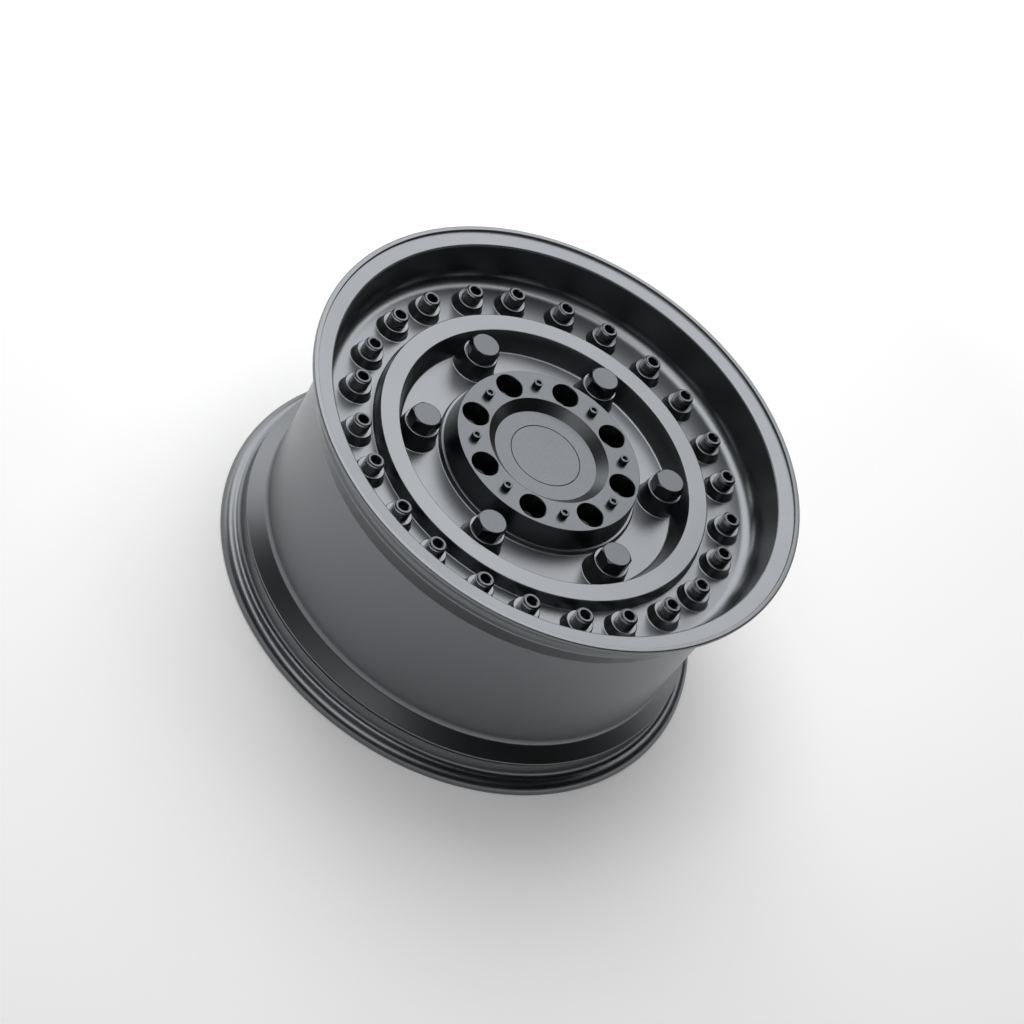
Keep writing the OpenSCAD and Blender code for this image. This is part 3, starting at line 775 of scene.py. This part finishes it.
class WHEEL_OT_cap(bpy.types.Operator):
    """Models the hub cap with its lug openings, and the badge let into it"""

    bl_idname = "wheel.cap"
    bl_label = "Hub cap and badge"

    def execute(self, context):
        s = Millimetres(context.scene.wheel_cap)
        top = CAP_HIGH.z
        badge_r = (BADGE_HIGH.x - BADGE_LOW.x) / 2
        badge_t = BADGE_HIGH.z - BADGE_LOW.z
        floor = top - s.recess
        foot_r = (CAP_HIGH.x - CAP_LOW.x) / 2
        cup = floor - badge_t - s.wall
        roof = top - s.wall
        outer = (
            [(0, cup), (s.spigot_r - s.wall - EDGE, cup), (s.spigot_r - s.wall, CAP_LOW.z)]
            + [(s.spigot_r - FINE_EDGE, CAP_LOW.z), (s.spigot_r, CAP_LOW.z + FINE_EDGE)]
            + [(s.spigot_r, s.land_z)]
            + [(foot_r - CAP_FOOT_EDGE, s.land_z), (foot_r, s.land_z + CAP_FOOT_EDGE)]
            + arc(s.top_r - CAP_EDGE, top - CAP_EDGE, CAP_EDGE, 9, 90, 6)
            + arc(s.recess_r + CAP_EDGE, top - CAP_EDGE, CAP_EDGE, 90, 135, 4)
            + arc(s.flat_r - RECESS_FOOT_IN, floor + CAP_EDGE, CAP_EDGE, -45, -90, 4)
            + [(badge_r + BADGE_MOUTH, floor), (badge_r + BADGE_GAP, floor - BADGE_SINK)]
            + [(badge_r + BADGE_GAP, floor - badge_t), (0, floor - badge_t)])
        cap = lathe("cap", outer)
        hollow = lathe("hollow", [
            (s.spigot_r + s.wall, s.land_z - OVER), (foot_r - s.wall, s.land_z - OVER),
            (s.top_r - s.wall, roof), (s.recess_r + s.wall, roof),
            (s.spigot_r + s.wall, roof - ROOF_FALL)])
        combine(cap, hollow, "DIFFERENCE")
        lug_r = context.scene.wheel_rim.lug_r / MM
        screws = [centre_of(n) for n in SCREW_NODES]
        lugs = [(lug_r, a + 180 / len(screws)) for _, a in screws]
        sleeve_low, sleeve_top = s.land_z + SLEEVE_GAP, top - EDGE
        sleeve_r = s.hole_r + s.wall - SLEEVE_THINNER
        sleeve = lathe("sleeve", hole_outline([(sleeve_r, sleeve_low, sleeve_top)]))
        small = lathe("small_sleeve", hole_outline([(SCREW_SLEEVE_R, sleeve_low, sleeve_top)]))
        combine(cap, join(copies(sleeve, lugs) + copies(small, screws)), "UNION")
        low, high = s.land_z - OVER, top + OVER
        mouth_r = s.hole_r + OPENING_CHAMFER
        opening = [(0, low), (s.hole_r, low), (s.hole_r, top - OPENING_CHAMFER)]
        opening += [(mouth_r, top), (mouth_r, high), (0, high)]
        tools = copies(lathe("opening", opening), lugs)
        tools += copies(lathe("screw_way", hole_outline([(SCREW_WAY_R, low, high)])), screws)
        combine(cap, join(tools), "DIFFERENCE")
        smooth(cap)
        hand_over(cap, "cap", "hub_cap", finish_of("cap"))
        badge = lathe("badge", [(0, BADGE_LOW.z), (badge_r, BADGE_LOW.z)]
                      + arc(badge_r - BADGE_EDGE, floor - BADGE_EDGE, BADGE_EDGE, 0, 90, 4) + [(0, floor)])
        smooth(badge)
        hand_over(badge, "badge", "cap_badge", finish_of("cap"))
        return {"FINISHED"}


# Lesser sizes of the fasteners, in millimetres unless the name says degrees

END_CHAMFER = 1
BOLT_CORNER = 0.4
BOLT_BREAK = 0.3
BOLT_BREAK_DEG = 20
DOME_SIDE = 2
DOME_OUT = 0.3
DOME_IN = 0.4
DOME_RISE = 0.01
WASHER_EDGE = 0.2
SCREW_END = 0.5
SCREW_SEAT_EDGE = 0.2
SCREW_HEAD_EDGE = 0.7
SCREW_SOCKET = 2.4
STUD_TOP_EDGE = 0.3
BLANK_DROP = 0.35
BLANK_IN = 0.5
STUD_SMOOTH_DEG = 38
# shape of the thread, as shares of its pitch: depth, start below the pad, half of crest and root
THREAD_DEPTH = 0.6
THREAD_START = 1.5
THREAD_CREST = 0.07
THREAD_ROOT = 0.375
# how far the ridge reaches into the stud, in millimetres
THREAD_SINK = 0.2


class WHEEL_OT_bolts(bpy.types.Operator):
    """Models the hexagon bolts that stand on the bosses"""

    bl_idname = "wheel.bolts"
    bl_label = "Disc bolts"

    def execute(self, context):
        s = Millimetres(context.scene.wheel_fasteners)
        top = BOLT_HIGH.z
        low = top - s.bolt_head
        flats_low = low + s.bolt_face
        corner = s.bolt_af / 2 / math.cos(math.radians(30))
        head = hexagon("bolt", s.bolt_af, flats_low, top)
        self.round_corners(head)
        slope = s.bolt_fall / (corner - s.bolt_flat_r)
        dome = [(0, low), (corner + DOME_SIDE, low)]
        dome += [(corner + DOME_SIDE, top - s.bolt_fall - DOME_SIDE * slope)]
        dome += [(s.bolt_flat_r + DOME_OUT, top - DOME_OUT * slope)]
        dome += [(s.bolt_flat_r - DOME_IN, top + DOME_RISE), (0, top + DOME_RISE)]
        combine(head, lathe("dome", dome), "INTERSECT")
        self.soften(head)
        shank = [(0, BOLT_LOW.z), (s.bolt_r - END_CHAMFER, BOLT_LOW.z)]
        shank += [(s.bolt_r, BOLT_LOW.z + END_CHAMFER), (s.bolt_r, low)]
        washer = [(s.bolt_face_r - WASHER_EDGE, low), (s.bolt_face_r, low + WASHER_EDGE)]
        washer += [(s.bolt_face_r, flats_low), (0, flats_low)]
        bolt = join([head, lathe("washer_face", shank + washer)])
        smooth(bolt)
        places = [(*centre_of(n), corner_angle(n)) for n in BOLT_NODES]
        for k, (twin, node) in enumerate(zip(copies(bolt, places), BOLT_NODES), 1):
            hand_over(twin, f"bolt_{k}", node, finish_of("fastener"))
        return {"FINISHED"}

    def round_corners(self, obj):
        """Takes the sharpness off the six upright edges."""
        activate(obj)
        bpy.ops.object.mode_set(mode="EDIT")
        bpy.ops.mesh.select_all(action="DESELECT")
        bpy.ops.object.mode_set(mode="OBJECT")
        for edge in obj.data.edges:
            a, b = (obj.data.vertices[i].co for i in edge.vertices)
            edge.select = abs(a.z - b.z) > MM
        bpy.ops.object.mode_set(mode="EDIT")
        bpy.ops.mesh.select_mode(type="EDGE")
        bpy.ops.mesh.bevel(offset=BOLT_CORNER * MM, segments=3)
        bpy.ops.mesh.select_mode(type="VERT")
        bpy.ops.object.mode_set(mode="OBJECT")

    def soften(self, obj):
        """Breaks every edge that is still sharp."""
        activate(obj)
        bpy.ops.object.modifier_add(type="BEVEL")
        bevel = obj.modifiers[-1]
        bevel.width = BOLT_BREAK * MM
        bevel.segments = 2
        bevel.limit_method = "ANGLE"
        bevel.angle_limit = math.radians(BOLT_BREAK_DEG)
        bpy.ops.object.modifier_apply(modifier=bevel.name)


class WHEEL_OT_screws(bpy.types.Operator):
    """Models the socket-head screws that hold the cap"""

    bl_idname = "wheel.screws"
    bl_label = "Cap screws"

    def execute(self, context):
        s = Millimetres(context.scene.wheel_fasteners)
        top = SCREW_HIGH.z
        seat = top - s.screw_head
        r = s.screw_head_r
        shank = [(0, SCREW_LOW.z), (s.screw_r - SCREW_END, SCREW_LOW.z)]
        shank += [(s.screw_r, SCREW_LOW.z + SCREW_END), (s.screw_r, seat)]
        head = [(r - SCREW_SEAT_EDGE, seat), (r, seat + SCREW_SEAT_EDGE)]
        head += arc(r - SCREW_HEAD_EDGE, top - SCREW_HEAD_EDGE, SCREW_HEAD_EDGE, 0, 90, 6) + [(0, top)]
        screw = lathe("screw", shank + head)
        socket(screw, s.screw_key, top, SCREW_SOCKET)
        smooth(screw)
        places = [centre_of(n) for n in SCREW_NODES]
        for k, (twin, node) in enumerate(zip(copies(screw, places), SCREW_NODES), 1):
            hand_over(twin, f"screw_{k}", node, finish_of("fastener"))
        return {"FINISHED"}


class WHEEL_OT_studs(bpy.types.Operator):
    """Models the threaded studs round the dish"""

    bl_idname = "wheel.studs"
    bl_label = "Rim studs"

    def execute(self, context):
        s = Millimetres(context.scene.wheel_fasteners)
        top = STUD_HIGH.z
        pad = top - s.stud_stand
        root = s.stud_r - THREAD_DEPTH * s.stud_pitch
        low = pad - THREAD_START * s.stud_pitch
        thread = self.thread(s, root, low, top + s.stud_pitch)
        blank = [(0, STUD_LOW.z - OVER), (s.stud_r + OVER, STUD_LOW.z - OVER)]
        blank += [(s.stud_r + OVER, top - s.stud_end - OVER)]
        blank += [(root - BLANK_IN, top - BLANK_DROP), (0, top - BLANK_DROP)]
        combine(thread, lathe("blank", blank), "INTERSECT")
        core = [(0, STUD_LOW.z), (s.stud_r - END_CHAMFER, STUD_LOW.z), (s.stud_r, STUD_LOW.z + END_CHAMFER)]
        core += [(s.stud_r, low - END_CHAMFER), (root, low), (root, top - STUD_TOP_EDGE)]
        core += [(root - STUD_TOP_EDGE, top), (0, top)]
        stud = lathe("stud", core)
        socket(stud, s.stud_key, top, s.stud_key)
        combine(stud, thread, "UNION")
        smooth(stud, STUD_SMOOTH_DEG)
        places = [centre_of(n) for n in STUD_NODES]
        for twin, node in zip(copies(stud, places), STUD_NODES):
            hand_over(twin, node.replace("rim_", ""), node, finish_of("fastener"))
        return {"FINISHED"}

    def thread(self, s, root, low, high):
        """One helical ridge, wound with the thread's pitch and closed at both ends."""
        pitch = s.stud_pitch
        turns = math.ceil((high - low) / pitch)
        deselect_all()
        bpy.ops.mesh.primitive_plane_add(size=MM, rotation=(math.pi / 2, 0, 0))
        ridge = bpy.context.object
        bpy.ops.object.transform_apply(rotation=True)
        # the four corners become a ridge that is wide at the root and narrow at the crest
        inside = root - THREAD_SINK
        section = [(inside, -THREAD_ROOT), (s.stud_r, -THREAD_CREST)]
        section += [(s.stud_r, THREAD_CREST), (inside, THREAD_ROOT)]
        order = sorted(ridge.data.vertices, key=lambda v: math.atan2(v.co.z, v.co.x))
        for vertex, (r, z) in zip(order, section):
            vertex.co = (r * MM, 0, (low + (z + 0.5) * pitch) * MM)
        bpy.ops.object.mode_set(mode="EDIT")
        bpy.ops.mesh.select_all(action="SELECT")
        bpy.ops.mesh.delete(type="ONLY_FACE")
        bpy.ops.object.mode_set(mode="OBJECT")
        bpy.ops.object.modifier_add(type="SCREW")
        screw = ridge.modifiers[-1]
        screw.screw_offset = pitch * MM
        screw.angle = 2 * math.pi
        screw.iterations = turns
        screw.steps = screw.render_steps = STEPS["thread"]
        bpy.ops.object.modifier_apply(modifier=screw.name)
        bpy.ops.object.mode_set(mode="EDIT")
        bpy.ops.mesh.select_all(action="SELECT")
        bpy.ops.mesh.fill_holes(sides=0)
        tidy_mesh()
        return ridge


# Softboxes: azimuth and elevation in degrees, then distance, width and height in metres
SOFTBOXES = {
    "key": (235, 56, 2.4, 2.6, 2.6),
    "top": (10, 74, 2.2, 1.5, 1.5),
    "side": (-86, 14, 2.4, 2.4, 0.9),
}
# Height that the softboxes face, as a share of the wheel's
AIM = 0.7
# The floor, and how far from the middle its added white starts to rise and is full, in metres. Inside that
# the added white is weak, which paints shade on the floor round the wheel and in the wheel's reflections of
# it
FLOOR_R = 9
PAINTED_SHADE_FADE_FROM = 0.9
PAINTED_SHADE_FADE_TO = 3.0
# The white of the walls fades out between these heights above the horizon, in degrees
WALL_FULL_DEG = 9
WALL_END_DEG = 13
SENSOR_MM = 36


class WHEEL_OT_stage(bpy.types.Operator):
    """Sets up the floor, the lamps and the camera"""

    bl_idname = "wheel.stage"
    bl_label = "Stage"

    def execute(self, context):
        s = context.scene.wheel_studio
        context.scene.view_settings.view_transform = "Standard"
        self.floor(s)
        self.world(s)
        self.camera(s)
        for name, place in SOFTBOXES.items():
            self.softbox(name, getattr(s, name), *place)
        return {"FINISHED"}

    def floor(self, s):
        """White floor that goes out of sight, with the wheel's shadow on it and painted shade round the
        wheel, where its added white is weaker.
        """
        deselect_all()
        bpy.ops.mesh.primitive_circle_add(vertices=96, radius=FLOOR_R, fill_type="NGON")
        floor = bpy.context.object
        floor.name = "floor"
        material, tree = new_material("floor_white")
        ray = add_node(tree, "ShaderNodeLightPath")
        seen = add_node(tree, "ShaderNodeMath", {"operation": "MAXIMUM"},
                        {0: ray.outputs["Is Camera Ray"], 1: ray.outputs["Is Glossy Ray"]})
        shown = add_node(tree, "ShaderNodeMath", {"operation": "MAXIMUM"},
                         {0: seen.outputs[0], 1: ray.outputs["Is Transmission Ray"]})
        place = add_node(tree, "ShaderNodeTexCoord")
        away = add_node(tree, "ShaderNodeVectorMath", {"operation": "LENGTH"},
                        {0: place.outputs["Object"]})
        # the added white rises from weak near the wheel to full far out: painted shade round the wheel, also
        # seen in reflections
        painted_shade_glow = add_node(tree, "ShaderNodeMapRange",
                        {"From Min": PAINTED_SHADE_FADE_FROM, "From Max": PAINTED_SHADE_FADE_TO, "To Min": s.painted_shade_glow, "To Max": 1.0},
                        {"Value": away.outputs["Value"]})
        strength = add_node(tree, "ShaderNodeMath", {"operation": "MULTIPLY"},
                            {0: painted_shade_glow.outputs["Result"], 1: shown.outputs[0]})
        white = add_node(tree, "ShaderNodeEmission", {}, {"Strength": strength.outputs[0]})
        paper = add_node(tree, "ShaderNodeBsdfDiffuse", {"Color": bpy.context.scene.wheel_finish.floor})
        both = add_node(tree, "ShaderNodeAddShader", {}, {0: white.outputs[0], 1: paper.outputs[0]})
        add_node(tree, "ShaderNodeOutputMaterial", {}, {"Surface": both.outputs[0]})
        floor.data.materials.append(material)

    def world(self, s):
        """A dark room whose walls are white near the floor."""
        world = bpy.data.worlds.new("studio")
        bpy.context.scene.world = world
        world.use_nodes = True
        tree = world.node_tree
        tree.nodes.clear()
        place = add_node(tree, "ShaderNodeTexCoord")
        height = add_node(tree, "ShaderNodeSeparateXYZ", {}, {0: place.outputs["Generated"]})
        full, end = math.sin(math.radians(WALL_FULL_DEG)), math.sin(math.radians(WALL_END_DEG))
        room = add_node(tree, "ShaderNodeMapRange",
                        {"From Min": full, "From Max": end, "To Min": s.wall, "To Max": 0.0},
                        {"Value": height.outputs["Z"]})
        light = add_node(tree, "ShaderNodeBackground", {"Color": (1, 1, 1, 1)},
                         {"Strength": room.outputs["Result"]})
        add_node(tree, "ShaderNodeOutputWorld", {}, {"Surface": light.outputs[0]})

    def softbox(self, name, power, azimuth, elevation, distance, width, height):
        """A flat lamp that faces the middle of the wheel."""
        a, e = math.radians(azimuth), math.radians(elevation)
        aim = Vector((0, 0, CAST_HIGH.z * MM * AIM))
        back = Vector((math.cos(a) * math.cos(e), math.sin(a) * math.cos(e), math.sin(e)))
        bpy.ops.object.light_add(type="AREA", location=aim + back * distance)
        lamp = bpy.context.object
        lamp.name = name
        lamp.rotation_euler = back.to_track_quat("Z", "Y").to_euler()
        lamp.data.shape = "RECTANGLE"
        lamp.data.size = width
        lamp.data.size_y = height
        lamp.data.energy = power
        lamp.visible_camera = False

    def camera(self, s):
        """Camera at the photograph's angle, with the picture's turn."""
        bpy.ops.object.camera_add()
        camera = bpy.context.object
        camera.name = "camera"
        camera.matrix_world = (
            Matrix.Translation(s.place)
            @ Matrix.Rotation(s.azimuth + math.pi / 2, 4, "Z")
            @ Matrix.Rotation(math.pi / 2 - s.elevation, 4, "X")
            @ Matrix.Rotation(s.roll, 4, "Z"))
        camera.data.lens = s.lens
        camera.data.sensor_width = SENSOR_MM
        bpy.context.scene.camera = camera


OPERATORS = (WHEEL_OT_stage, WHEEL_OT_casting, WHEEL_OT_cap, WHEEL_OT_bolts, WHEEL_OT_screws, WHEEL_OT_studs)
GROUPS = {
    "wheel_rim": RimSizes,
    "wheel_cap": CapSizes,
    "wheel_fasteners": FastenerSizes,
    "wheel_finish": FinishSettings,
    "wheel_studio": StudioSettings,
}


class WHEEL_PT_panel(bpy.types.Panel):
    """Lists the wheel's pieces and their sizes"""

    bl_label = "Alloy Wheel"
    bl_idname = "WHEEL_PT_panel"
    bl_space_type = "VIEW_3D"
    bl_region_type = "UI"
    bl_category = "Wheel"

    def draw(self, context):
        for operator in OPERATORS:
            self.layout.operator(operator.bl_idname)
        for group, kind in GROUPS.items():
            box = self.layout.box()
            for key in kind.__annotations__:
                box.prop(getattr(context.scene, group), key)


def register():
    for group, kind in GROUPS.items():
        bpy.utils.register_class(kind)
        setattr(bpy.types.Scene, group, bpy.props.PointerProperty(type=kind))
    for kind in OPERATORS + (WHEEL_PT_panel,):
        bpy.utils.register_class(kind)


def unregister():
    for kind in OPERATORS + (WHEEL_PT_panel,):
        bpy.utils.unregister_class(kind)
    for group, kind in GROUPS.items():
        delattr(bpy.types.Scene, group)
        bpy.utils.unregister_class(kind)


def main():
    register()
    bpy.ops.wheel.stage()
    bpy.ops.wheel.casting()
    bpy.ops.wheel.cap()
    bpy.ops.wheel.bolts()
    bpy.ops.wheel.screws()
    bpy.ops.wheel.studs()


if __name__ == "__main__":
    main()
